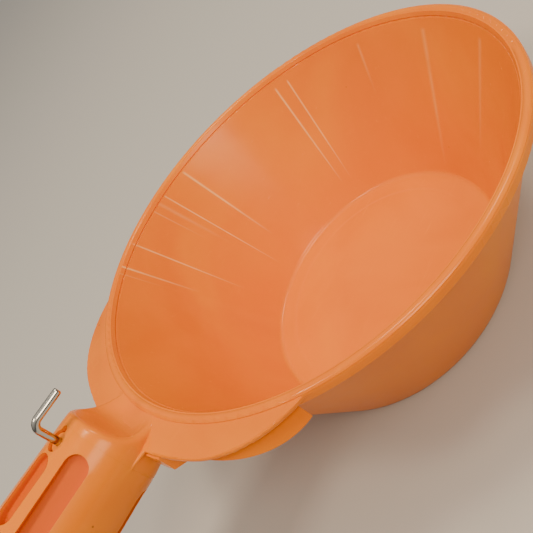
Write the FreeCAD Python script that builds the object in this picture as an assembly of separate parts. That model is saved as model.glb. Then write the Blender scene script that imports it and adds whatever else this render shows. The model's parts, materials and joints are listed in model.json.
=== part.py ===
"""A moulded dipper scoop: conical bowl, flanged neck, fluted pole socket and a bent locking pin.

Everything is drawn in the rim frame first: its origin is the centre of the bowl's opening, the
opening lies in its XY plane, and the handle runs toward -X. Each finished piece is then turned
and lifted so that the bowl stands on the floor: the row's origin is the centre of the underside
of the base, +Z is up, and the handle still runs toward -X and rises a little.
"""
import FreeCAD
import Part
import math
import os

V = FreeCAD.Vector
X_AXIS, Y_AXIS, Z_AXIS = V(1, 0, 0), V(0, 1, 0), V(0, 0, 1)

# driving dimensions, millimetres and degrees
RIM_R = 95.0                 # inner radius of the opening
LIP_W = 3.9                  # width of the rounded bead round the opening
LIP_LOW = -3.4               # the bead's lower edge
LIP_GROOVE_Z = -2.0          # a fine groove sets the bead off from the wall, inside
LIP_GROOVE_R = 0.45
FLOOR_R = 57.7               # inner radius of the base, where wall and floor would meet
DEPTH = 68.8                 # from the opening's plane to the floor, at the floor's centre
FLOOR_SHIFT = 3.3            # floor centre, away from the handle
RIM_TILT = 5.1               # the opening rises toward the handle when the scoop stands
WALL = 3.2                   # wall of bowl and floor
INNER_FILLET = 3.0           # between wall and floor, inside
OUTER_FILLET = 6.0           # between wall and underside

FLANGE_R = 110.8             # reach of the flange, from the rim's centre
FLANGE_HALF_ANGLE = 23.0     # where the round front of the flange ends
FLANGE_CORNER_R = 48.0       # arc that brings the flange back to the rim
FLANGE_T = 1.8               # flange thickness
FLANGE_DROP = 0.4            # flange top, below the top of the rim bead
FLANGE_EDGE_R = 0.6          # rounding of the flange's edge

HANDLE_R = 19.1              # outer radius where the neck ends
HANDLE_GROWTH = 0.032        # radius gained per millimetre of length
HANDLE_DROP = 1.5            # slope of the handle below the opening's plane, degrees
HANDLE_Z = -1.0              # height of the handle's axis at the pin
NECK_SIDES = ((-97.0, 14.6), (-102.0, 16.6), (-107.0, 17.9), (-111.5, 18.7), (-115.8, 19.1))   # x and radius
DISH = ((-97.0, -0.4, -0.2), (-99.5, -0.9, 1.2), (-102.0, -1.5, 3.0), (-104.5, -1.8, 5.5),
        (-107.0, -0.8, 8.0), (-109.0, 2.2, 10.6), (-110.4, 7.0, 13.5), (-111.4, 13.0, 17.0),
        (-112.4, 20.5, 22.0))   # x, height in the middle, height at the side
DISH_HALF_W = 20.0
CREST_R = 2.5                # rounding where the dish runs out of the shoulder
ROOT_X = (-70.0, -106.0)     # half round root of the neck, under the flange
SEAM_X = -115.8              # the neck ends and the socket tube starts
MOUTH_X = -212.0             # open end of the socket
BORE_R = 14.15               # for a 28 mm pole
BORE_END_X = -113.0          # blind end of the bore
SPIGOT_R = 15.7              # turned-down end of the neck that sits in the tube
SPIGOT_L = 12.0
SPIGOT_BORE_R = 14.4         # a little easier than the tube's bore
RIDGE_R = 0.8                # moulding ridge that runs on from the flange's edge
RIDGE_X = (-108.0, -119.5)
RIDGE_SINK = 1.0             # how far it sinks into the handle by its outer end
CORE_HALF_W = 14.0           # the neck is cored out from below
CORE_TOP = -6.4

SLOT_W = 9.4                 # width of a flute
SLOT_DEPTH = 2.5             # at the seam: the flutes' floors stay parallel to the bore
SLOT_SPREAD = 41.0           # angle between the middle flute and its neighbours
SIDE_SLOT = (-120.4, -199.0)
MIDDLE_SLOTS = ((-127.0, -153.5), (-160.0, -199.0))

PIN_X = -122.3               # axis of the pin
PIN_R = 1.5
PIN_BEND_R = 3.4             # centre-line radius of the bend
PIN_ARM = 14.4               # from the stem's axis to the tip of the arm
PIN_ARM_Z = 28.7             # height of the arm's centre line
PIN_FOOT_Z = -19.4           # lower end of the stem
PIN_FIT = 0.06               # radial clearance of a running fit
BUSH_R = 2.9
BUSH_HEAD_R = 3.8
BUSH_HEAD_T = 1.0
BUSH_SEAT_DEPTH = 2.1        # flat seat sunk into the top of the handle
BUSH_LIFT = 0.05             # running clearance under the bush's head

CRADLE_BOTTOM = -9.4         # lowest edge of the wings
CRADLE_FLARE = 3.0           # the wings start this far inside the flange's edge and flare out
CRADLE_WALL = 2.4
CRADLE_GAP = 0.05            # joint between the cradle and the bowl's moulding
CRADLE_CUT_X = -71.0         # the wings end square here
WING_ARC_X = -78.0           # their lower edge is an arc with its lowest point here
WING_ARC_R = 50.0
KEEL_BOTTOM = -17.5          # webs beside the neck, deepest at the bowl's wall
KEEL_HALF_W = 27.0
KEEL_FRONT_X = -111.5
KEEL_FRONT_Z = -8.3
KEEL_SLOPE = 30.0            # the webs' lower edge climbs toward the handle, degrees
STRAP_END_X = -105.0
STRAP_T = 2.6                # half ring that passes under the neck and closes its core

FAR = 400.0


def box(x0, x1, y0, y1, z0, z1):
    """A box from its six faces."""
    return Part.makeBox(x1 - x0, y1 - y0, z1 - z0, V(x0, y0, z0))


def wire_circle(centre, radius, normal):
    return Part.Wire([Part.makeCircle(radius, centre, normal)])


# the handle's own line: starts at the pin, runs outward and slightly down
HANDLE_DIR = V(-math.cos(math.radians(HANDLE_DROP)), 0, -math.sin(math.radians(HANDLE_DROP)))
HANDLE_UP = V(-math.sin(math.radians(HANDLE_DROP)), 0, math.cos(math.radians(HANDLE_DROP)))
HANDLE_BASE = V(PIN_X, 0, HANDLE_Z)


def along_handle(x):
    """The point of the handle's axis that has this x."""
    return HANDLE_BASE + HANDLE_DIR * ((x - PIN_X) / HANDLE_DIR.x)


def handle_cone(x0, x1, r0, r1):
    """A solid of revolution on the handle's axis, from x0 outward to x1."""
    start = along_handle(x0)
    length = (along_handle(x1) - start).Length
    if abs(r0 - r1) < 1e-6:
        return Part.makeCylinder(r0, length, start, HANDLE_DIR)
    return Part.makeCone(r0, r1, length, start, HANDLE_DIR)


def handle_radius(x):
    """Outer radius of the handle, which widens toward its mouth."""
    return HANDLE_R + HANDLE_GROWTH * (SEAM_X - x)


# the floor is tilted against the opening, so its circle has its own centre and normal
FLOOR_NORMAL = V(-math.sin(math.radians(RIM_TILT)), 0, math.cos(math.radians(RIM_TILT)))
FLOOR_CENTRE = V(FLOOR_SHIFT, 0, -DEPTH)
UNDERSIDE = FLOOR_CENTRE - FLOOR_NORMAL * WALL


def bowl_body(grow, fillet, top_z):
    """The bowl as a full cone, offset outward by grow, with its bottom edge rounded."""
    slope = (RIM_R - FLOOR_R) / DEPTH
    sideways = grow * math.sqrt(1 + slope * slope)
    low = wire_circle(FLOOR_CENTRE - FLOOR_NORMAL * grow, FLOOR_R + sideways - slope * grow, FLOOR_NORMAL)
    high = wire_circle(V(0, 0, 0), RIM_R + sideways, Z_AXIS)
    body = Part.makeLoft([low, high], True, True)
    bottom = [e for e in body.Edges if e.BoundBox.ZMax < -DEPTH / 2 and len(e.Vertexes) < 2]
    body = body.makeFillet(fillet, bottom)
    if top_z > 0:
        rim = wire_circle(V(0, 0, 0), RIM_R + sideways, Z_AXIS)
        body = body.fuse(Part.Face(rim).extrude(V(0, 0, top_z)))
    return body


def flange_plan(grow_low, grow_high, z0, z1):
    """The flange's outline between two heights, grown sideways by one amount low and another high."""
    height = z1 - z0
    start = 180 - FLANGE_HALF_ANGLE
    low, high = FLANGE_R + grow_low, FLANGE_R + grow_high
    corner_low, corner_high = FLANGE_CORNER_R + grow_low, FLANGE_CORNER_R + grow_high
    if abs(low - high) < 1e-6:
        plan = Part.makeCylinder(low, height, V(0, 0, z0), Z_AXIS, 2 * FLANGE_HALF_ANGLE)
    else:
        plan = Part.makeCone(low, high, height, V(0, 0, z0), Z_AXIS, 2 * FLANGE_HALF_ANGLE)
    plan.rotate(V(0, 0, 0), Z_AXIS, start)
    for side in (-1, 1):
        turn = math.radians(180 + side * FLANGE_HALF_ANGLE)
        middle = V(math.cos(turn), math.sin(turn), 0) * (FLANGE_R - FLANGE_CORNER_R)
        foot = V(middle.x, middle.y, z0)
        if abs(low - high) < 1e-6:
            plan = plan.fuse(Part.makeCylinder(corner_low, height, foot))
        else:
            plan = plan.fuse(Part.makeCone(corner_low, corner_high, height, foot))
    return plan


def leaning_floor(x, z, slope):
    """Everything above a plane that passes through (x, z) and climbs toward the handle."""
    block = box(-FAR, FAR, -FAR, FAR, 0, FAR)
    block.rotate(V(0, 0, 0), Y_AXIS, slope)
    block.translate(V(x, 0, z))
    return block


def flange_plate():
    """The flange itself, with its outer edge rounded above and below."""
    plate = flange_plan(0.0, 0.0, -FLANGE_DROP - FLANGE_T, -FLANGE_DROP).removeSplitter()
    reach = RIM_R + LIP_W
    edges = [e for e in plate.Edges if e.BoundBox.ZLength < 1e-6 and e.Curve.TypeId == "Part::GeomCircle"
             and e.valueAt((e.FirstParameter + e.LastParameter) / 2).Length > reach]
    return plate.makeFillet(FLANGE_EDGE_R, edges)


def turned(points):
    """A solid of revolution on the handle's axis, with a smooth side through points of x and radius."""
    centres = [along_handle(x) for x, radius in points]
    side = Part.BSplineCurve()
    side.interpolate([centre + HANDLE_UP * radius for centre, (x, radius) in zip(centres, points)])
    first, last = side.StartPoint, side.EndPoint
    outline = [Part.makeLine(centres[0], first), side.toShape(), Part.makeLine(last, centres[-1]),
               Part.makeLine(centres[-1], centres[0])]
    return Part.Face(Part.Wire(outline)).revolve(HANDLE_BASE, HANDLE_DIR, 360)


def dish():
    """The air over the saddle between rim and shoulder: hollow across, and steep up to the shoulder."""
    sections = []
    for x, middle, side in DISH:
        left, right = V(x, -DISH_HALF_W, side), V(x, DISH_HALF_W, side)
        high_left, high_right = V(x, -DISH_HALF_W, 3 * DISH_HALF_W), V(x, DISH_HALF_W, 3 * DISH_HALF_W)
        sections.append(Part.Wire([Part.Arc(left, V(x, 0, middle), right).toShape(),
                                   Part.makeLine(right, high_right), Part.makeLine(high_right, high_left),
                                   Part.makeLine(high_left, left)]))
    return Part.makeLoft(sections, True, False)


def neck_stub():
    """The root of the handle, dished toward the bowl, with a rounded crest, down to the seam."""
    neck = turned(NECK_SIDES).cut(dish())
    crest = [e for e in neck.Edges if e.BoundBox.ZMax > 5 and e.BoundBox.XMin > SEAM_X + 1]
    neck = neck.makeFillet(CREST_R, crest)
    root = handle_cone(ROOT_X[0], ROOT_X[1], HANDLE_R, HANDLE_R)
    root = root.common(box(-FAR, 0, -FAR, FAR, -FAR, -FLANGE_DROP - FLANGE_T / 2))
    return neck.fuse(root)


def ridge(side):
    """The moulding ridge beside the neck, which sinks into the handle as it runs outward."""
    start = V(RIDGE_X[0], side * HANDLE_R, -FLANGE_DROP - RIDGE_R)
    end = V(RIDGE_X[1], side * (HANDLE_R - RIDGE_SINK), along_handle(RIDGE_X[1]).z)
    return Part.makeCylinder(RIDGE_R, (end - start).Length, start, end - start)


def lip_bead():
    """The rounded bead that runs all the way round the opening."""
    middle = RIM_R + LIP_W / 2
    half = LIP_W / 2
    points = [V(middle - half, 0, LIP_LOW), V(middle - half, 0, -0.9), V(middle, 0, 0.7),
              V(middle + half, 0, -0.9), V(middle + half, 0, LIP_LOW)]
    sides = [Part.makeLine(points[0], points[1]),
             Part.Arc(points[1], points[2], points[3]).toShape(),
             Part.makeLine(points[3], points[4]),
             Part.makeLine(points[4], points[0])]
    return Part.Face(Part.Wire(sides)).revolve(V(0, 0, 0), Z_AXIS, 360)


def make_bowl():
    inner = bowl_body(0.0, INNER_FILLET, 5.0)
    outer = bowl_body(WALL, OUTER_FILLET, 0.0)
    stub = neck_stub().fuse([ridge(side) for side in (-1, 1)])
    stub = stub.common(handle_cone(-60.0, SEAM_X, 2 * HANDLE_R, 2 * HANDLE_R))
    plate = flange_plate().cut(dish().common(turned(NECK_SIDES)))
    body = outer.fuse([plate, stub])
    body = body.fuse(lip_bead())
    spigot = handle_cone(SEAM_X, SEAM_X - SPIGOT_L, SPIGOT_R, SPIGOT_R)
    body = body.fuse(spigot)
    body = body.cut(inner)
    body = body.cut(handle_cone(BORE_END_X, SEAM_X - SPIGOT_L - 1.0, SPIGOT_BORE_R, SPIGOT_BORE_R))
    core = box(BORE_END_X + 4.0, -74.0, -CORE_HALF_W, CORE_HALF_W, -FAR, CORE_TOP)
    body = body.cut(core.cut(bowl_body(WALL, OUTER_FILLET, 0.0)))
    return body.cut([pin_hole(), lip_groove()])


def lip_groove():
    """The ring that cuts the fine groove under the bead."""
    slope = (RIM_R - FLOOR_R) / DEPTH
    return Part.makeTorus(RIM_R + slope * LIP_GROOVE_Z, LIP_GROOVE_R, V(0, 0, LIP_GROOVE_Z))


def pin_hole():
    """The hole for the bush, the flat seat of its head, and the hole for the pin's foot."""
    seat_z = HANDLE_Z + HANDLE_R - BUSH_SEAT_DEPTH
    hole = Part.makeCylinder(BUSH_R + PIN_FIT, 30.0, V(PIN_X, 0, HANDLE_Z))
    seat = Part.makeCylinder(BUSH_HEAD_R + 0.25, 10.0, V(PIN_X, 0, seat_z))
    dimple = Part.makeCylinder(1.6, 10.0, V(PIN_X + 4.2, 0, seat_z + 0.3))
    foot = Part.makeCylinder(PIN_R + 0.2, 30.0, V(PIN_X, 0, HANDLE_Z - 30.0))
    return hole.fuse([seat, dimple, foot])


def flute(x0, x1, angle):
    """One blind flute in the handle, with round ends and a flat floor."""
    start = along_handle(x0)
    length = (along_handle(x1) - start).Length
    half = SLOT_W / 2
    floor_r = HANDLE_R - SLOT_DEPTH
    tool = Part.makeBox(length - 2 * half, SLOT_W, 12.0, V(half, -half, floor_r))
    for end in (half, length - half):
        tool = tool.fuse(Part.makeCylinder(half, 12.0, V(end, 0, floor_r)))
    tool = tool.removeSplitter()
    tool.rotate(V(0, 0, 0), X_AXIS, angle)
    frame = FreeCAD.Rotation(HANDLE_DIR, HANDLE_DIR.cross(HANDLE_UP) * -1, HANDLE_UP, "XZY")
    tool.Placement = FreeCAD.Placement(start, frame).multiply(tool.Placement)
    return tool


def make_socket():
    tube = handle_cone(SEAM_X, MOUTH_X, handle_radius(SEAM_X), handle_radius(MOUTH_X))
    rounded = [e for e in tube.Edges if e.BoundBox.Center.x < MOUTH_X + 3 and len(e.Vertexes) < 2]
    tube = tube.makeFillet(1.6, rounded)
    cuts = [handle_cone(SEAM_X + 1.0, MOUTH_X - 1.0, BORE_R, BORE_R),
            handle_cone(SEAM_X + 1.0, SEAM_X - SPIGOT_L, SPIGOT_R, SPIGOT_R),
            handle_cone(MOUTH_X + 1.2, MOUTH_X - 1.0, BORE_R, BORE_R + 2.2),
            pin_hole()]
    for face in (0, 180):
        for side in (-SLOT_SPREAD, SLOT_SPREAD):
            cuts.append(flute(SIDE_SLOT[0], SIDE_SLOT[1], face + side))
        for x0, x1 in MIDDLE_SLOTS:
            cuts.append(flute(x0, x1, face))
    tube = tube.cut(cuts)
    outward = handle_cone(SEAM_X, MOUTH_X, 2 * HANDLE_R, 2 * HANDLE_R)
    return tube.fuse([ridge(side).common(outward) for side in (-1, 1)])


def make_bush():
    """The bush that the pin turns and slides in: a sleeve with a round head."""
    seat_z = HANDLE_Z + HANDLE_R - BUSH_SEAT_DEPTH + BUSH_LIFT
    low_z = HANDLE_Z + BORE_R + 0.6
    sleeve = Part.makeCylinder(BUSH_R, seat_z - low_z, V(PIN_X, 0, low_z))
    head = Part.makeCylinder(BUSH_HEAD_R, BUSH_HEAD_T, V(PIN_X, 0, seat_z))
    top = [e for e in head.Edges if e.BoundBox.ZMin > seat_z + BUSH_HEAD_T / 2 and len(e.Vertexes) < 2]
    head = head.makeFillet(0.5, top)
    bore = Part.makeCylinder(PIN_R + PIN_FIT, 20.0, V(PIN_X, 0, low_z - 1.0))
    return sleeve.fuse(head).removeSplitter().cut(bore)


def make_pin():
    """Round wire: a straight stem, one bend, and an arm that points at the bowl."""
    bend_z = PIN_ARM_Z - PIN_BEND_R
    foot = V(PIN_X, 0, PIN_FOOT_Z)
    bend_start = V(PIN_X, 0, bend_z)
    bend_mid = V(PIN_X + PIN_BEND_R * (1 - math.sqrt(0.5)), 0, bend_z + PIN_BEND_R * math.sqrt(0.5))
    bend_end = V(PIN_X + PIN_BEND_R, 0, PIN_ARM_Z)
    tip = V(PIN_X + PIN_ARM, 0, PIN_ARM_Z)
    stem = Part.makeCylinder(PIN_R, bend_z - PIN_FOOT_Z, foot)
    arm = Part.makeCylinder(PIN_R, tip.x - bend_end.x, bend_end, X_AXIS)
    path = Part.Wire([Part.Arc(bend_start, bend_mid, bend_end).toShape()])
    bend = path.makePipeShell([wire_circle(bend_start, PIN_R, Z_AXIS)], True, False)
    pin = stem.fuse([bend, arm]).removeSplitter()
    ends = [e for e in pin.Edges if len(e.Vertexes) < 2
            and (e.BoundBox.ZMax < PIN_FOOT_Z + 0.1 or e.BoundBox.XMin > tip.x - 0.1)]
    return pin.makeFillet(0.7, ends)


CRADLE_TOP = -FLANGE_DROP - FLANGE_T - CRADLE_GAP


def wings(inset):
    """The flared outline under the flange, cut off square at its ends."""
    shape = flange_plan(-inset, -CRADLE_FLARE - inset, CRADLE_BOTTOM, CRADLE_TOP - inset / 2)
    return shape.common(box(-FAR, CRADLE_CUT_X - inset, -FAR, FAR, -FAR, FAR))


def wing_arc():
    """Everything above the arc that the wings' lower edge follows."""
    arc = Part.makeCylinder(WING_ARC_R, 2 * FAR, V(WING_ARC_X, -FAR, CRADLE_BOTTOM + WING_ARC_R), Y_AXIS)
    return arc


def webs():
    """The deeper block beside the neck, with its own steeper floor."""
    block = Part.makeCylinder(-KEEL_FRONT_X, CRADLE_TOP - KEEL_BOTTOM, V(0, 0, KEEL_BOTTOM))
    block = block.common(box(-FAR, -60.0, -KEEL_HALF_W, KEEL_HALF_W, -FAR, FAR))
    return block.common(leaning_floor(KEEL_FRONT_X, KEEL_FRONT_Z, KEEL_SLOPE))


def make_cradle():
    """The piece under the flange: two square-ended wings and a deeper keel by the handle."""
    body = wings(0.0).common(wing_arc())
    strap_r = HANDLE_R + CRADLE_GAP + STRAP_T
    strap = handle_cone(-60.0, STRAP_END_X, strap_r, strap_r)
    strap = strap.common(box(-FAR, 0, -FAR, FAR, -FAR, KEEL_FRONT_Z))
    hollow = wings(CRADLE_WALL).cut(box(-FAR, 0, -KEEL_HALF_W, KEEL_HALF_W, -FAR, FAR))
    hollow = hollow.cut(bowl_body(WALL + CRADLE_WALL, OUTER_FILLET, 5.0))
    body = body.cut(hollow).fuse([webs(), strap])
    body = body.cut(bowl_body(WALL + CRADLE_GAP, OUTER_FILLET, 5.0))
    bead = Part.makeCylinder(RIM_R + LIP_W + CRADLE_GAP, FAR, V(0, 0, LIP_LOW - CRADLE_GAP))
    neck = handle_cone(-60.0, MOUTH_X, HANDLE_R + CRADLE_GAP, HANDLE_R + CRADLE_GAP)
    return body.cut([bead, neck])


def stand(shape):
    """Turn and lift a piece from the rim frame to the row's frame."""
    turn = FreeCAD.Rotation(Y_AXIS, RIM_TILT)
    lift = turn.multVec(UNDERSIDE) * -1
    solid = shape.Solids[0] if len(shape.Solids) == 1 else shape
    placed = solid.copy()
    placed.Placement = FreeCAD.Placement(lift, turn).multiply(placed.Placement)
    return placed


PIECES = {"bowl": make_bowl, "neck_cradle": make_cradle, "handle_socket": make_socket,
          "pin_bush": make_bush, "locking_pin": make_pin}

os.makedirs("parts", exist_ok=True)
for name, maker in PIECES.items():
    piece = stand(maker())
    piece.exportStep("parts/%s.step" % name)
    bounds = piece.BoundBox
    print(name, "solids", len(piece.Solids), "valid", piece.isValid(), "cm3", round(piece.Volume / 1000, 2),
          "centre", [round(c, 1) for c in piece.CenterOfGravity],
          "x", round(bounds.XMin, 1), round(bounds.XMax, 1), "y", round(bounds.YMin, 1), round(bounds.YMax, 1),
          "z", round(bounds.ZMin, 2), round(bounds.ZMax, 1))
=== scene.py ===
# %% [markdown]
# # A moulded dipper scoop
# An orange bowl with a flanged neck, a fluted socket for a pole, and a bent wire pin that locks
# the pole. The CAD model already has every size and place, so this first cell only loads it.

# %% Load the frame
import bmesh
import bpy
import json
import math
from mathutils import Euler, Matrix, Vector


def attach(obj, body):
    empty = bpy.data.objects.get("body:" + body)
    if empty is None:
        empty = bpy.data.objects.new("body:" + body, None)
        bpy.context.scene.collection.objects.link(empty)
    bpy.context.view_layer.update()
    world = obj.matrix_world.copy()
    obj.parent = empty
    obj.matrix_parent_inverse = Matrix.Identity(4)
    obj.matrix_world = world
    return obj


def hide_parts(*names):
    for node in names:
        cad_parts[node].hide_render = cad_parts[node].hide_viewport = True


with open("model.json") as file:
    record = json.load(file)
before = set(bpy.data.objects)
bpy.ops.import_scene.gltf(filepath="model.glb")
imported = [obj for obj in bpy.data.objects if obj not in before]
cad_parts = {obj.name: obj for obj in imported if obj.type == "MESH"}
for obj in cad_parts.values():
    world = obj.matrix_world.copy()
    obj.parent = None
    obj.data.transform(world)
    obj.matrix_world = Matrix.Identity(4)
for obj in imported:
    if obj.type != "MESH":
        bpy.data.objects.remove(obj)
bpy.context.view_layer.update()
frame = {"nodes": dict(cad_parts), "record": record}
NODES = frame["nodes"]
MM = 0.001

# %% [markdown]
# ## The camera
# It looks down into the bowl from beside the handle and is rolled far over, so that the handle
# leaves the view at its lower left corner. A lens of 47.8 mm on a 36 mm sensor is a normal lens:
# what makes the opening look egg-shaped is that the camera stands only 0.3 m away.

# %% Camera
SENSOR_MM = 36.0
LENS_MM = 47.8
NEAR_MM = 10.0
CAMERA_PLACE = (-0.0737, -0.2239, 0.2184)
CAMERA_TURN = (40.966, 41.435, -49.413)      # degrees about x, y and z

camera_data = bpy.data.cameras.new("camera")
camera_data.sensor_width = SENSOR_MM
camera_data.lens = LENS_MM
camera_data.clip_start = NEAR_MM * MM
camera = bpy.data.objects.new("camera", camera_data)
camera.location = CAMERA_PLACE
camera.rotation_euler = Euler([math.radians(angle) for angle in CAMERA_TURN])
bpy.context.collection.objects.link(camera)
bpy.context.scene.camera = camera
print("camera at", CAMERA_PLACE, "lens", LENS_MM, "mm")

# %% [markdown]
# ## Helpers for materials
# Colours are chosen as sRGB hex, the way a paint chart gives them, but Blender's sockets want
# linear light, so one function converts them. The next adds a node, sets its properties and
# fills its sockets in one call, so that a material reads from top to bottom. The last two begin
# and end a material. All patterns here are placed by Object coordinates, which are metres in the
# scoop's own frame: a pattern's scale is then one over its real size.


# %% Colour and node helpers
def linear(hex_colour):
    """An sRGB hex colour as linear RGBA."""
    channels = [int(hex_colour[i:i + 2], 16) / 255 for i in (0, 2, 4)]
    return (*[c / 12.92 if c <= 0.04045 else ((c + 0.055) / 1.055) ** 2.4 for c in channels], 1.0)


def add(tree, kind, settings=None, **sockets):
    """Adds a node with its settings. Each socket gets a value, or a link from a socket or a node.

    A socket is named as in Blender, with _ for a space, or by its number as in0, in1 and so on.
    A node stands for the first of its outputs that is in use.
    """
    node = tree.nodes.new("ShaderNode" + kind)
    for key, value in (settings or {}).items():
        setattr(node, key, value)
    for key, value in sockets.items():
        name = key.replace("_", " ")
        numbered = name.startswith("in") and name[2:].isdigit()
        socket = node.inputs[int(name[2:]) if numbered else name]
        if isinstance(value, bpy.types.Node):
            value = next(output for output in value.outputs if output.enabled)
        if isinstance(value, bpy.types.NodeSocket):
            tree.links.new(value, socket)
        else:
            socket.default_value = value
    return node


print("half way to white on the chart is", round(linear("808080")[0], 2), "of white's light")


# %% Begin and end a material
def new_material(name):
    """An empty node material, its tree, and the Object coordinates that patterns are placed by."""
    material = bpy.data.materials.new(name)
    material.use_nodes = True
    tree = material.node_tree
    tree.nodes.clear()
    return material, tree, add(tree, "TexCoord").outputs["Object"]


def finish_material(material, tree, shader):
    """Links the shader to the material's output."""
    add(tree, "OutputMaterial", Surface=shader)
    print("material", material.name, "with", len(tree.nodes), "nodes")
    return material


# %% [markdown]
# ## The orange plastic: its colour
# The scoop is polypropylene, injection moulded in a polished steel mould and coloured right
# through. That gives the eye a saturated orange with a soft gloss, sharp enough to show a lamp
# but too waxy to mirror it. A flat colour would look like paint, because a moulding is never
# even. First, the colour drifts by a few per cent where the melt flowed, which is a slow noise
# run through three near oranges.

# %% Colour drift
ORANGE = "EE8000"
ORANGE_DEEP = "E87800"
ORANGE_PALE = "F28A02"
DRIFT_STOPS = ((0.3, ORANGE_DEEP), (0.5, ORANGE), (0.72, ORANGE_PALE))
FLOW_MM = 70.0               # size of the slow drift


def flow_noise(tree, place):
    """Where the melt flowed early or late, as a slow noise."""
    return add(tree, "TexNoise", Vector=place, Scale=1 / (FLOW_MM * MM), Detail=3.0,
               Distortion=1.2)


def drifting_orange(tree, flow):
    """The flow noise as three near oranges. A new ramp has a stop at each end already."""
    drift = add(tree, "ValToRGB", Fac=flow)
    stops = drift.color_ramp.elements
    stops.new(DRIFT_STOPS[1][0])
    for stop, (position, shade) in zip(stops, DRIFT_STOPS):
        stop.position = position
        stop.color = linear(shade)
    return drift


print("three oranges", [shade for _, shade in DRIFT_STOPS])

# %% [markdown]
# ## Scuffs and specks
# Handling leaves hair-thin pale scuffs, and here and there a burnt speck of the melt shows. The
# scuffs are a noise that is stretched along one slanted line, of which only the peaks are kept.
# The specks are the middles of a few cells of a Voronoi pattern, chosen by each cell's own
# random colour.

# %% Scuffs and specks
SCUFF_MM = 26.0              # length of a scuff
SCUFF_THINNESS = 14.0        # its length over its width
SCUFF_TURN = (0.4, 0.7, 0.3)         # in radians, so that it is slanted to every face
SCUFF_PEAKS = (0.60, 0.74)
SPECK_BROWN = "7A3A10"
SPECK_SPACING_MM = 11.0
SPECK_R = 0.045              # of the spacing: half a millimetre
SPECK_COVER = 0.7            # how far a speck hides the orange
SPECK_SHARE = 0.2            # one cell in five has a speck


def scuffs(tree, place):
    """1 on a scuff, 0 beside it."""
    stretched = add(tree, "Mapping", Vector=place, Rotation=SCUFF_TURN,
                    Scale=(1.0, SCUFF_THINNESS, SCUFF_THINNESS))
    noise = add(tree, "TexNoise", Vector=stretched, Scale=1 / (SCUFF_MM * MM), Detail=6.0,
                Roughness=0.7)
    return add(tree, "MapRange", Value=noise, From_Min=SCUFF_PEAKS[0], From_Max=SCUFF_PEAKS[1])


def specks(tree, place):
    """How far a burnt speck hides the orange, 0 beside it."""
    cells = add(tree, "TexVoronoi", Vector=place, Scale=1 / (SPECK_SPACING_MM * MM))
    near = add(tree, "MapRange", Value=cells, From_Min=SPECK_R / 2, From_Max=SPECK_R,
               To_Min=SPECK_COVER, To_Max=0.0)
    lot = add(tree, "SeparateXYZ", Vector=cells.outputs["Color"])
    chosen = add(tree, "Math", {"operation": "GREATER_THAN"}, in0=lot, in1=1 - SPECK_SHARE)
    return add(tree, "Math", {"operation": "MULTIPLY"}, in0=near, in1=chosen)


print("specks", round(2 * SPECK_R * SPECK_SPACING_MM, 1), "mm wide")

# %% [markdown]
# ## The plain skin
# The three patterns make the base colour together. The gloss isn't even either: it changes
# slowly with the mould's polish, and a scuff dulls it.

# %% Plain skin
GLOSS = (0.15, 0.23)         # roughness where the mould is best and least polished
GLOSS_FLOW = (0.3, 0.7)
SCUFF_DULLS = 0.12


def moulded_skin(tree, place):
    """The plain plastic's colour and roughness, as two nodes."""
    flow = flow_noise(tree, place)
    scuffed = scuffs(tree, place)
    worn = add(tree, "Mix", {"data_type": "RGBA"}, Factor=scuffed,
               in6=drifting_orange(tree, flow), in7=linear(ORANGE_PALE))
    base = add(tree, "Mix", {"data_type": "RGBA"}, Factor=specks(tree, place),
               in6=worn, in7=linear(SPECK_BROWN))
    gloss = add(tree, "MapRange", Value=flow, From_Min=GLOSS_FLOW[0], From_Max=GLOSS_FLOW[1],
                To_Min=GLOSS[0], To_Max=GLOSS[1])
    rough = add(tree, "Math", {"operation": "MULTIPLY_ADD"}, in0=scuffed, in1=SCUFF_DULLS,
                in2=gloss)
    return base, rough


print("roughness from", GLOSS[0], "to", GLOSS[1] + SCUFF_DULLS)

# %% [markdown]
# ## Painted reflection streaks inside the bowl
# The inner wall shows bright, straight streaks, each following one line of the cone from the rim
# down and fading out on its way. They are painted highlights: the lamps' reflections, painted pale
# into the wall's colour, with a little less roughness where they lie. Each is set by its azimuth,
# and a point of the wall is on it when its own azimuth is near enough. The wall is a leaning cone:
# its centre shifts as it rises, and the azimuth is taken about the shifted centre.

# %% Where a point of the wall is
FLOOR_R_MM = 57.7
RIM_R_MM = 95.0
RIM_SHIFT_MM = 2.83          # of the rim's centre from the floor's, away from the handle


def face_up(tree):
    """How far a face looks up, -1 to 1."""
    normal = add(tree, "NewGeometry").outputs["True Normal"]
    return add(tree, "SeparateXYZ", Vector=normal).outputs["Z"]


def wall_place(tree, place):
    """A wall point's azimuth in degrees, and how far up the wall it is, 0 to 1."""
    x, y, _ = add(tree, "SeparateXYZ", Vector=place).outputs
    flat = add(tree, "CombineXYZ", X=x, Y=y)
    radius = add(tree, "VectorMath", {"operation": "LENGTH"}, in0=flat)
    height = add(tree, "MapRange", {"clamp": False}, Value=radius,
                 From_Min=FLOOR_R_MM * MM, From_Max=RIM_R_MM * MM)
    centred = add(tree, "Math", {"operation": "MULTIPLY_ADD"}, in0=height,
                  in1=-RIM_SHIFT_MM * MM, in2=x)
    angle = add(tree, "Math", {"operation": "ARCTAN2"}, in0=y, in1=centred)
    return add(tree, "Math", {"operation": "DEGREES"}, in0=angle), height


print("the inner wall goes from a radius of", FLOOR_R_MM, "to", RIM_R_MM, "mm")
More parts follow.
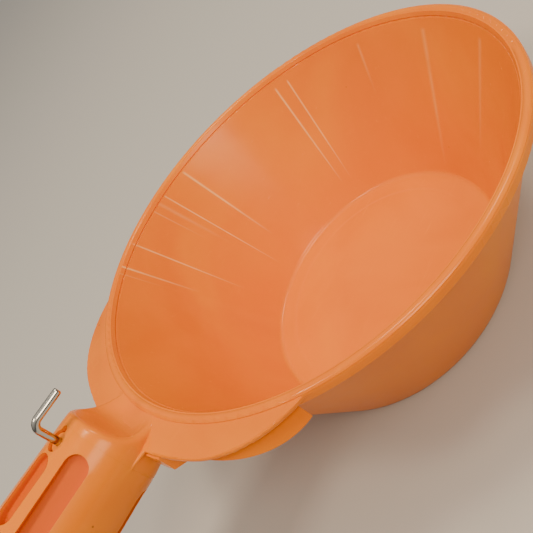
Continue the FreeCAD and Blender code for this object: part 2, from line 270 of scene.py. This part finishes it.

# %% [markdown]
# ## The painted streaks themselves
# Twelve streaks would take a dozen nodes each. A vector holds three numbers, so three streaks
# share each vector node: their azimuths are one vector, their widths another, and a dot product
# with their strengths adds the three up.

# %% Painted reflection streaks
# Each streak is a painted highlight: a lamp's reflection, painted pale on the wall.
# (azimuth and half width in degrees, lowest point up the wall, strength)
PAINTED_STREAKS = [
    (44.0, 0.40, 0.15, 0.85), (48.5, 0.45, 0.15, 0.95), (87.0, 0.50, 0.25, 1.10),
    (96.5, 0.35, 0.10, 0.80), (99.5, 0.80, 0.45, 0.30), (102.5, 0.35, 0.60, 0.45),
    (115.0, 0.40, 0.25, 0.85), (123.5, 0.45, 0.50, 1.00), (126.0, 0.30, 0.70, 0.50),
    (18.5, 0.60, 0.60, 0.40), (-5.0, 1.10, 0.05, 0.28), (-28.5, 1.10, 0.25, 0.28),
]
MARK_FADE = 0.4              # of the wall's height, from nothing to full strength
MARK_TOP = (0.95, 0.97)      # they all end under the bead
MARK_GRAIN_MM = 9.0          # they are uneven along their length
MARK_GRAIN = (0.35, 0.6)
MARK_LEAST = 0.75            # what the unevenness leaves of a mark
INSIDE_LOOKS_UP = 0.2        # the outside of the wall looks down


def three_marks(tree, degrees, height, marks):
    """The strengths of three marks added up."""
    angles, widths, lows, strengths = zip(*marks)
    offset = add(tree, "VectorMath", {"operation": "SUBTRACT"}, in0=degrees, in1=angles)
    away = add(tree, "VectorMath", {"operation": "ABSOLUTE"}, in0=offset)
    across = add(tree, "MapRange", {"data_type": "FLOAT_VECTOR"}, Vector=away,
                 in8=widths, in9=(1, 1, 1), in10=(0, 0, 0))
    along = add(tree, "MapRange", {"data_type": "FLOAT_VECTOR"}, Vector=height,
                in7=lows, in8=[low + MARK_FADE for low in lows])
    both = add(tree, "VectorMath", {"operation": "MULTIPLY"}, in0=across, in1=along)
    return add(tree, "VectorMath", {"operation": "DOT_PRODUCT"}, in0=both, in1=strengths)


def painted_streak_strength(tree, place):
    """How strongly a point carries a painted reflection streak, 0 to 1."""
    degrees, height = wall_place(tree, place)
    total = 0.0
    for i in range(0, len(PAINTED_STREAKS), 3):
        marks = three_marks(tree, degrees, height, PAINTED_STREAKS[i:i + 3])
        total = add(tree, "Math", {"operation": "ADD"}, in0=marks, in1=total)
    under_rim = add(tree, "MapRange", Value=height, From_Min=MARK_TOP[0], From_Max=MARK_TOP[1],
                    To_Min=1.0, To_Max=0.0)
    inside = add(tree, "Math", {"operation": "GREATER_THAN"}, in0=face_up(tree),
                 in1=INSIDE_LOOKS_UP)
    grain = add(tree, "TexNoise", Vector=place, Scale=1 / (MARK_GRAIN_MM * MM), Detail=2.0)
    uneven = add(tree, "MapRange", Value=grain, From_Min=MARK_GRAIN[0], From_Max=MARK_GRAIN[1],
                 To_Min=MARK_LEAST)
    for share in (under_rim, inside, uneven):
        total = add(tree, "Math", {"operation": "MULTIPLY", "use_clamp": True},
                    in0=total, in1=share)
    return total


# The streaks counted here are painted reflections of the lamps.
print(len(PAINTED_STREAKS), "draw marks")

# %% [markdown]
# ## The step in the bowl's floor
# The floor has a faint ring, where the plate that pushes the moulding off meets the mould's
# core. It is a tenth of a millimetre high, too low to matter as a shape, and is drawn by bump.
# The same bump carries the skin's faint waviness, which breaks up every highlight.

# %% Bump
SKIN_MM = 1.6                # from one wave of the skin to the next
SKIN_DEEP_MM = 0.4
SKIN_STRENGTH = 0.035        # so a wave is a hundredth of a millimetre high
FLOOR_RING_MM = 49.0         # its radius
RING_HALF_MM = 0.9           # half the width of its slope
RING_STEP_MM = 0.12


def skin_bump(tree, place):
    """The faint waviness of moulded plastic."""
    waves = add(tree, "TexNoise", Vector=place, Scale=1 / (SKIN_MM * MM), Detail=2.0)
    return add(tree, "Bump", Height=waves, Strength=SKIN_STRENGTH, Distance=SKIN_DEEP_MM * MM)


def ring_bump(tree, place, bump):
    """The floor's ring, on top of another bump."""
    flat = add(tree, "VectorMath", {"operation": "MULTIPLY"}, in0=place, in1=(1, 1, 0))
    radius = add(tree, "VectorMath", {"operation": "LENGTH"}, in0=flat)
    step = add(tree, "MapRange", {"interpolation_type": "SMOOTHSTEP"}, Value=radius,
               From_Min=(FLOOR_RING_MM - RING_HALF_MM) * MM,
               From_Max=(FLOOR_RING_MM + RING_HALF_MM) * MM)
    return add(tree, "Bump", Height=step, Strength=1.0, Distance=RING_STEP_MM * MM, Normal=bump)


print("floor ring", 2 * FLOOR_RING_MM, "mm across, floor", 2 * FLOOR_R_MM, "mm")

# %% [markdown]
# ## The flutes' floors, in painted shade
# The flutes are sunk into the handle, and their floors are painted a deeper orange than its skin:
# painted shade, for the recesses where less light reaches. They are also rougher, because they
# were cut into the mould by hand and are less polished. The handle is a cone, so a point is in a
# flute when it is nearer the handle's axis than the skin is there. The axis comes from the record,
# which states it for the pole that the socket takes.

# %% Depth under the handle's skin
SOCKET = next(mount for mount in frame["record"]["mounts"] if mount["name"] == "pole_socket")
HANDLE_RISE = math.asin(SOCKET["axis"][2])
HANDLE_R_MM = 20.82          # outer radius at the mount's point
HANDLE_GROWTH = 0.032        # and its growth toward the mouth
FLUTE_EDGE_MM = (0.6, 1.8)   # below the skin, over which the colour changes


def flute_depth(tree, place):
    """1 on a floor sunk into the handle's skin, 0 on the skin itself."""
    offset = add(tree, "VectorMath", {"operation": "SUBTRACT"}, in0=place, in1=SOCKET["pos_m"])
    turned = add(tree, "VectorRotate", {"rotation_type": "Y_AXIS"}, Vector=offset,
                 Angle=-HANDLE_RISE)
    along, side, high = add(tree, "SeparateXYZ", Vector=turned).outputs
    across = add(tree, "CombineXYZ", X=side, Y=high)
    radius = add(tree, "VectorMath", {"operation": "LENGTH"}, in0=across)
    outer = add(tree, "Math", {"operation": "MULTIPLY_ADD"}, in0=along, in1=-HANDLE_GROWTH,
                in2=HANDLE_R_MM * MM)
    depth = add(tree, "Math", {"operation": "SUBTRACT"}, in0=outer, in1=radius)
    return add(tree, "MapRange", {"interpolation_type": "SMOOTHSTEP"}, Value=depth,
               From_Min=FLUTE_EDGE_MM[0] * MM, From_Max=FLUTE_EDGE_MM[1] * MM)


print("the handle rises", round(math.degrees(HANDLE_RISE), 2), "degrees")

# %% [markdown]
# ## Three kinds of the same plastic
# All three mouldings are one plastic, so one function makes their materials, and the bowl and
# the socket each add what is their own. The outside of the bowl is rougher than its inside,
# because it rubs on whatever the scoop is set down on. The plastic lets a little light in and
# out again, most of it red, which makes thin edges glow.

# %% Orange plastic
# Painted highlight: the pale colour of the lamps' reflection streaks on the bowl's inner wall.
STREAK_HIGHLIGHT_PALE = "FFCB86"
STREAK_GLOSS = 0.1            # roughness that a painted streak takes away
OUTSIDE_DULLS = 0.18
# Painted shade: the deeper orange of the flutes' floors, where less light reaches.
FLUTE_SHADE_ORANGE = "D45B00"
FLUTE_DULLS = 0.08
PLASTIC_IOR = 1.49
PLASTIC_SPECULAR = 0.26      # half of what the IOR gives, because the skin is waxy
GLOW = 0.10                  # share of the light that goes in and comes out again
GLOW_MM = 2.0                # how far it travels
GLOW_RGB = (1.0, 0.35, 0.1)  # of that, for red, green and blue


def orange_plastic(name, drawn=False, fluted=False):
    """Moulded orange, with painted reflection streaks and a ring if drawn, and flutes in painted
    shade, rougher, if fluted.
    """
    material, tree, place = new_material(name)
    base, rough = moulded_skin(tree, place)
    bump = skin_bump(tree, place)
    if drawn:
        # Painted highlights: the lamps' reflection streaks, mixed pale into the bowl's colour.
        mark = painted_streak_strength(tree, place)
        base = add(tree, "Mix", {"data_type": "RGBA"}, Factor=mark, in6=base,
                   in7=linear(STREAK_HIGHLIGHT_PALE))
        rough = add(tree, "Math", {"operation": "MULTIPLY_ADD"}, in0=mark, in1=-STREAK_GLOSS,
                    in2=rough)
        outside = add(tree, "Math", {"operation": "LESS_THAN"}, in0=face_up(tree), in1=0.0)
        rough = add(tree, "Math", {"operation": "MULTIPLY_ADD"}, in0=outside, in1=OUTSIDE_DULLS,
                    in2=rough)
        bump = ring_bump(tree, place, bump)
    if fluted:
        # Painted shade: the flutes' floors are darkened toward a deeper orange.
        sunk = flute_depth(tree, place)
        base = add(tree, "Mix", {"data_type": "RGBA"}, Factor=sunk, in6=base,
                   in7=linear(FLUTE_SHADE_ORANGE))
        rough = add(tree, "Math", {"operation": "MULTIPLY_ADD"}, in0=sunk, in1=FLUTE_DULLS,
                    in2=rough)
    shader = add(tree, "BsdfPrincipled", Base_Color=base, Roughness=rough, Normal=bump,
                 IOR=PLASTIC_IOR, Specular_IOR_Level=PLASTIC_SPECULAR, Subsurface_Weight=GLOW,
                 Subsurface_Radius=GLOW_RGB, Subsurface_Scale=GLOW_MM * MM)
    return finish_material(material, tree, shader)


PLAIN_ORANGE = orange_plastic("moulded_polypropylene")
BOWL_ORANGE = orange_plastic("moulded_polypropylene_drawn", drawn=True)
SOCKET_ORANGE = orange_plastic("moulded_polypropylene_fluted", fluted=True)

# %% [markdown]
# ## The bright wire
# The pin is drawn steel wire with a thin layer of bright zinc. Plated wire mirrors its
# surroundings in long bands, and drawing leaves fine lines along it. The real lines are too
# fine to show, so they are drawn at a third of a millimetre, as an uneven gloss and a trace of
# bump, stretched along x and z, because the whole bent wire lies in that plane.

# %% Plated wire
ZINC = "BEBEBB"
DRAWN_LINE_MM = 0.35
LINE_STRETCH = (0.12, 1.0, 0.12)
LINE_NOISE = (0.3, 0.7)
MIRROR, SATIN = 0.08, 0.22   # roughness of the brightest and the dullest line
LINE_STRENGTH = 0.05
LINE_DEEP_MM = 0.05


def plated_wire(name):
    """Bright zinc on drawn wire."""
    material, tree, place = new_material(name)
    lines = add(tree, "Mapping", Vector=place, Scale=LINE_STRETCH)
    noise = add(tree, "TexNoise", Vector=lines, Scale=1 / (DRAWN_LINE_MM * MM), Detail=3.0)
    rough = add(tree, "MapRange", Value=noise, From_Min=LINE_NOISE[0], From_Max=LINE_NOISE[1],
                To_Min=MIRROR, To_Max=SATIN)
    bump = add(tree, "Bump", Height=noise, Strength=LINE_STRENGTH, Distance=LINE_DEEP_MM * MM)
    shader = add(tree, "BsdfPrincipled", Base_Color=linear(ZINC), Metallic=1.0, Roughness=rough,
                 Normal=bump)
    return finish_material(material, tree, shader)


WIRE = plated_wire("bright_zinc_wire")

# %% [markdown]
# ## Mouldings with softened edges
# The three mouldings already have the right shape in CAD, but every edge there is a knife edge.
# A real mould can't make one, and a knife edge never catches the light. They could be modelled
# afresh, but that would only risk their fit. So each moulding is a copy of its CAD mesh: merged
# into one skin, its flat fans of triangles dissolved, and then beveled by a few tenths of a
# millimetre with hardened normals, which keeps the faces calm.

# %% A clean skin from a CAD mesh
MERGE_MM = 0.002             # corners nearer than this are one corner
FLAT_DEG = 0.2               # faces that meet flatter than this are one face
SLIVER_MM = 0.02             # edges shorter than this are closed up


def clean_skin(name, node):
    """A copy of a CAD node's mesh as one smooth skin, without the CAD's own normals."""
    data = NODES[node].data.copy()
    data.name = name
    mesh = bmesh.new()
    mesh.from_mesh(data)
    bmesh.ops.remove_doubles(mesh, verts=mesh.verts, dist=MERGE_MM * MM)
    bmesh.ops.dissolve_limit(mesh, angle_limit=math.radians(FLAT_DEG), verts=mesh.verts,
                             edges=mesh.edges)
    bmesh.ops.dissolve_degenerate(mesh, dist=SLIVER_MM * MM, edges=mesh.edges)
    for face in mesh.faces:
        face.smooth = True
    mesh.to_mesh(data)
    mesh.free()
    if "custom_normal" in data.attributes:
        data.attributes.remove(data.attributes["custom_normal"])
    print(name, len(data.polygons), "faces before its bevel")
    return data


# %% A moulding with its bevel
EDGE_DEG = 28                # a fold sharper than this is an edge
EDGE_SEGMENTS = 2


def moulding(name, node, edge_mm, material):
    """A beveled piece with the shape of a CAD node."""
    data = clean_skin(name, node)
    data.materials.clear()
    data.materials.append(material)
    piece = bpy.data.objects.new(name, data)
    bpy.context.collection.objects.link(piece)
    bevel = piece.modifiers.new("soft edges", "BEVEL")
    bevel.width = edge_mm * MM
    bevel.segments = EDGE_SEGMENTS
    bevel.limit_method = "ANGLE"
    bevel.angle_limit = math.radians(EDGE_DEG)
    bevel.harden_normals = True
    bevel.use_clamp_overlap = True
    return piece


# %% [markdown]
# ## The three mouldings
# The bowl has the thinnest edges and gets the smallest bevel. Each piece rides on the scoop's
# own body, hides the CAD node that it stands for, and takes its own material.

# %% The mouldings
for name, node, edge_mm, material in (("bowl_moulding", "bowl", 0.3, BOWL_ORANGE),
                                      ("cradle_moulding", "neck_cradle", 0.4, PLAIN_ORANGE),
                                      ("socket_moulding", "handle_socket", 0.5, SOCKET_ORANGE)):
    piece = moulding(name, node, edge_mm, material)
    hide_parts(node)
    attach(piece, "scoop")

# %% [markdown]
# ## The pin and its bush
# A round wire and a small round ring are exactly what CAD draws well, so both stay as they are
# and only get their materials.

# %% The pin and its bush
for node, material in (("pin_bush", PLAIN_ORANGE), ("locking_pin", WIRE)):
    for material_slot in NODES[node].material_slots:
        material_slot.material = material
    print(node, "has", material.name)

# %% [markdown]
# ## The floor
# A pale matt floor, so that it shows the scoop's soft shadow and mirrors nothing. It is part of
# the stage, not of the scoop.

# %% Floor
FLOOR_HALF = 4.0
FLOOR_GREY = "BBBDBF"
MATT = 0.75

floor_mesh = bmesh.new()
bmesh.ops.create_grid(floor_mesh, x_segments=1, y_segments=1, size=FLOOR_HALF)
floor_data = bpy.data.meshes.new("floor")
floor_mesh.to_mesh(floor_data)
floor_mesh.free()
floor = bpy.data.objects.new("floor", floor_data)
bpy.context.collection.objects.link(floor)
floor_paint, floor_tree, _ = new_material("pale_matt_floor")
floor_shader = add(floor_tree, "BsdfPrincipled", Base_Color=linear(FLOOR_GREY), Roughness=MATT)
floor_data.materials.append(finish_material(floor_paint, floor_tree, floor_shader))
print("floor", 2 * FLOOR_HALF, "m wide")

# %% [markdown]
# ## The room
# The room is a plain gradient, dim at the horizon and bright overhead, like a white ceiling over
# grey walls. That leaves the outside of the bowl in its own shade, and gives the wire a dark
# side and a light side to mirror.

# %% Room
HORIZON, OVERHEAD = 0.10, 0.72
GRADIENT = (0.05, 0.9)       # how far up it starts and ends, from 0 at the horizon to 1 overhead
WARM_WHITE = "FFF3E2"

room = bpy.data.worlds.new("room")
bpy.context.scene.world = room
room.use_nodes = True
room_tree = room.node_tree
room_tree.nodes.clear()
looking = add(room_tree, "TexCoord").outputs["Generated"]
direction = add(room_tree, "SeparateXYZ", Vector=looking)
strength = add(room_tree, "MapRange", Value=direction.outputs["Z"],
               From_Min=GRADIENT[0], From_Max=GRADIENT[1], To_Min=HORIZON, To_Max=OVERHEAD)
glow = add(room_tree, "Background", Color=linear(WARM_WHITE), Strength=strength)
add(room_tree, "OutputWorld", Surface=glow)
print("room from", HORIZON, "to", OVERHEAD)

# %% [markdown]
# ## The lamps
# Three small panels hang in a row over the scoop. Each shows as its own glint in the bead, in
# the fillet round the floor and along the wire, where one wide lamp would give a smear. A larger
# fill stands in front and above, and opens the shade on the handle's side. All four are warm,
# like tungsten studio lamps, which makes the glints in the orange golden and not pink.

# %% A lamp
LAMP_WARM = "FFE7C4"


def area_light(name, place, target, size, watts):
    """A square lamp that looks at a point."""
    data = bpy.data.lights.new(name, "AREA")
    data.size = size
    data.energy = watts
    data.color = linear(LAMP_WARM)[:3]
    lamp = bpy.data.objects.new(name, data)
    lamp.location = place
    toward = Vector(target) - Vector(place)
    lamp.rotation_euler = toward.to_track_quat("-Z", "Y").to_euler()
    bpy.context.collection.objects.link(lamp)
    print(name, size, "m,", watts, "W")


# %% The lamps
PANEL_PLACES = [(-0.55, 0.05, 1.15), (0.10, 0.05, 1.15), (0.75, 0.05, 1.15)]
PANEL_TARGET = (0.0, 0.0, 0.05)      # the middle of the bowl
PANEL_SIZE = 0.22
PANEL_WATTS = 3.9
FILL_PLACE = (-0.05, -0.85, 0.95)
FILL_TARGET = (-0.08, 0.0, 0.06)     # the neck
FILL_SIZE = 0.5
FILL_WATTS = 8.5

for i, place in enumerate(PANEL_PLACES):
    area_light("ceiling_panel_%d" % i, place, PANEL_TARGET, PANEL_SIZE, PANEL_WATTS)
area_light("fill", FILL_PLACE, FILL_TARGET, FILL_SIZE, FILL_WATTS)
